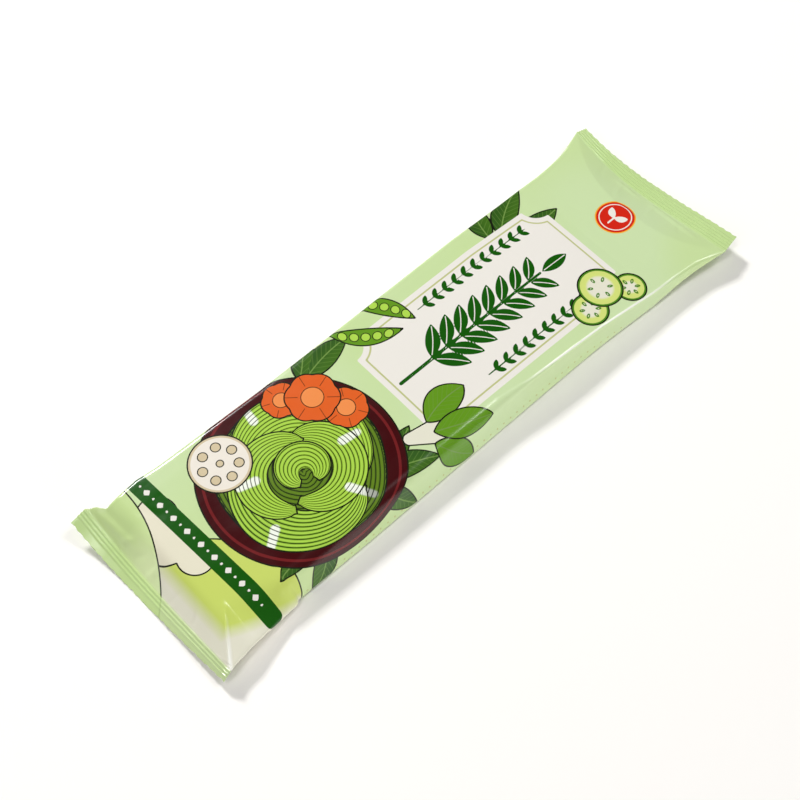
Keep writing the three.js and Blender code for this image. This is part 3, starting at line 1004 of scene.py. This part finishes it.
def make_film():
    """The printed film, which is all of the pack that shows."""
    film = bpy.data.objects.new("film", film_mesh())
    bpy.context.scene.collection.objects.link(film)
    film.data.materials.append(film_material())
    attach(film, "root")
    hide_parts("pack")


def make_floor():
    """A round floor, wide enough to fill the picture from the photo's angle."""
    mesh = bpy.data.meshes.new("floor")
    form = bmesh.new()
    bmesh.ops.create_circle(form, cap_ends=True, segments=96, radius=FLOOR_RADIUS)
    form.to_mesh(mesh)
    form.free()
    floor = bpy.data.objects.new("floor", mesh)
    bpy.context.scene.collection.objects.link(floor)
    mesh.materials.append(floor_material())


# Where the light and the camera are, seen from the pack.
LAMPS = {  # direction; distance, width and length in metres; watts; whether the film mirrors it
    "key": ((0.12, 1.0, 1.0), 1.3, 0.2, 0.2, 12.2, True),
    "edge_box": ((0.47, -0.18, 0.86), 1.22, 0.34, 0.26, 3.4, True),
    "near_fill": ((-0.75, -0.1, 0.65), 1.2, 0.6, 0.6, 2.2, True),
    "ridge_strip": ((-0.4, -0.06, 0.91), 1.2, 0.16, 0.4, 2.6, True),
    "right_fill": ((0.1, -0.97, 0.13), 1.2, 0.8, 0.28, 6.3, False),
}
SKY_COLOUR = (0.82, 0.79, 0.755, 1)
SKY_TOP, SKY_RIM = 0.14, 0.1
# A haze brightens the rim. It is whole up to one height and gone from another.
HAZE, HAZE_FULL_TO, HAZE_GONE_FROM = 0.55, 0.03, 0.17
# The part of the sky that the top of the pack mirrors to the camera is dark. The first two numbers are
# cosines: inside the first the sky keeps only a share of its light, outside the second all of it.
DARK_TOWARDS = (0.354, 0.362, 0.862)
DARK_WITHIN, DARK_UP_TO, DARK_SHARE = 0.96, 0.86, 0.05
FLOOR_RADIUS = 1.0  # in metres
# The camera's angles are in degrees, its distance, aim and sensor in millimetres.
CAMERA_AZIMUTH, CAMERA_ELEVATION, CAMERA_DISTANCE = -42.75, 60.9, 474.2
CAMERA_AIM = (-9.55, 0.9, 0.0)
FOCAL_PIXELS, PHOTO_PIXELS, SENSOR = 1450.0, 800.0, 36.0


def make_lamp(name, direction, distance, width, length, watts, mirrored):
    data = bpy.data.lights.new(name, "AREA")
    data.shape = "RECTANGLE"
    data.size, data.size_y = width, length
    data.energy = watts
    lamp = bpy.data.objects.new(name, data)
    lamp.visible_camera = False
    lamp.visible_glossy = mirrored
    bpy.context.scene.collection.objects.link(lamp)
    way = Vector(direction).normalized()
    lamp.location = way * distance
    lamp.rotation_euler = way.to_track_quat("Z", "Y").to_euler()


def make_sky():
    """A pale sky with a bright rim and one soft dark patch."""
    world = bpy.data.worlds.new("sky")
    bpy.context.scene.world = world
    n = Nodes(world)
    way = n.new("ShaderNodeTexCoord").outputs["Generated"]
    height = n.new("ShaderNodeSeparateXYZ")
    n.set(height.inputs[0], way)
    nearness = n.new("ShaderNodeVectorMath", operation="DOT_PRODUCT")
    n.set(nearness.inputs[0], way)
    nearness.inputs[1].default_value = DARK_TOWARDS
    haze = n.spread(height.outputs["Z"], HAZE_FULL_TO, HAZE_GONE_FROM, HAZE, 0.0, "SMOOTHSTEP")
    light = n.math("ADD", n.spread(height.outputs["Z"], 0.0, 1.0, SKY_RIM, SKY_TOP), haze)
    shade = n.spread(nearness.outputs["Value"], DARK_UP_TO, DARK_WITHIN, 1.0, DARK_SHARE, "SMOOTHSTEP")
    background = n.new("ShaderNodeBackground")
    background.inputs["Color"].default_value = SKY_COLOUR
    n.set(background.inputs["Strength"], n.math("MULTIPLY", light, shade))
    output = n.new("ShaderNodeOutputWorld")
    n.set(output.inputs["Surface"], background.outputs[0])


def make_camera():
    data = bpy.data.cameras.new("camera")
    data.sensor_fit = "HORIZONTAL"
    data.sensor_width = SENSOR
    data.lens = FOCAL_PIXELS / PHOTO_PIXELS * SENSOR
    camera = bpy.data.objects.new("camera", data)
    bpy.context.scene.collection.objects.link(camera)
    azimuth, elevation = math.radians(CAMERA_AZIMUTH), math.radians(CAMERA_ELEVATION)
    back = Vector((math.sin(azimuth) * math.cos(elevation), -math.cos(azimuth) * math.cos(elevation),
                   math.sin(elevation)))
    right = Vector((0, 0, 1)).cross(back).normalized()
    turn = Matrix((right, back.cross(right), back)).transposed().to_4x4()
    camera.matrix_world = Matrix.Translation((Vector(CAMERA_AIM) + back * CAMERA_DISTANCE) * MM) @ turn
    bpy.context.scene.camera = camera


make_camera()
make_film()
make_floor()
for lamp_name, settings in LAMPS.items():
    make_lamp(lamp_name, *settings)
make_sky()
bpy.context.scene.view_settings.view_transform = "Standard"
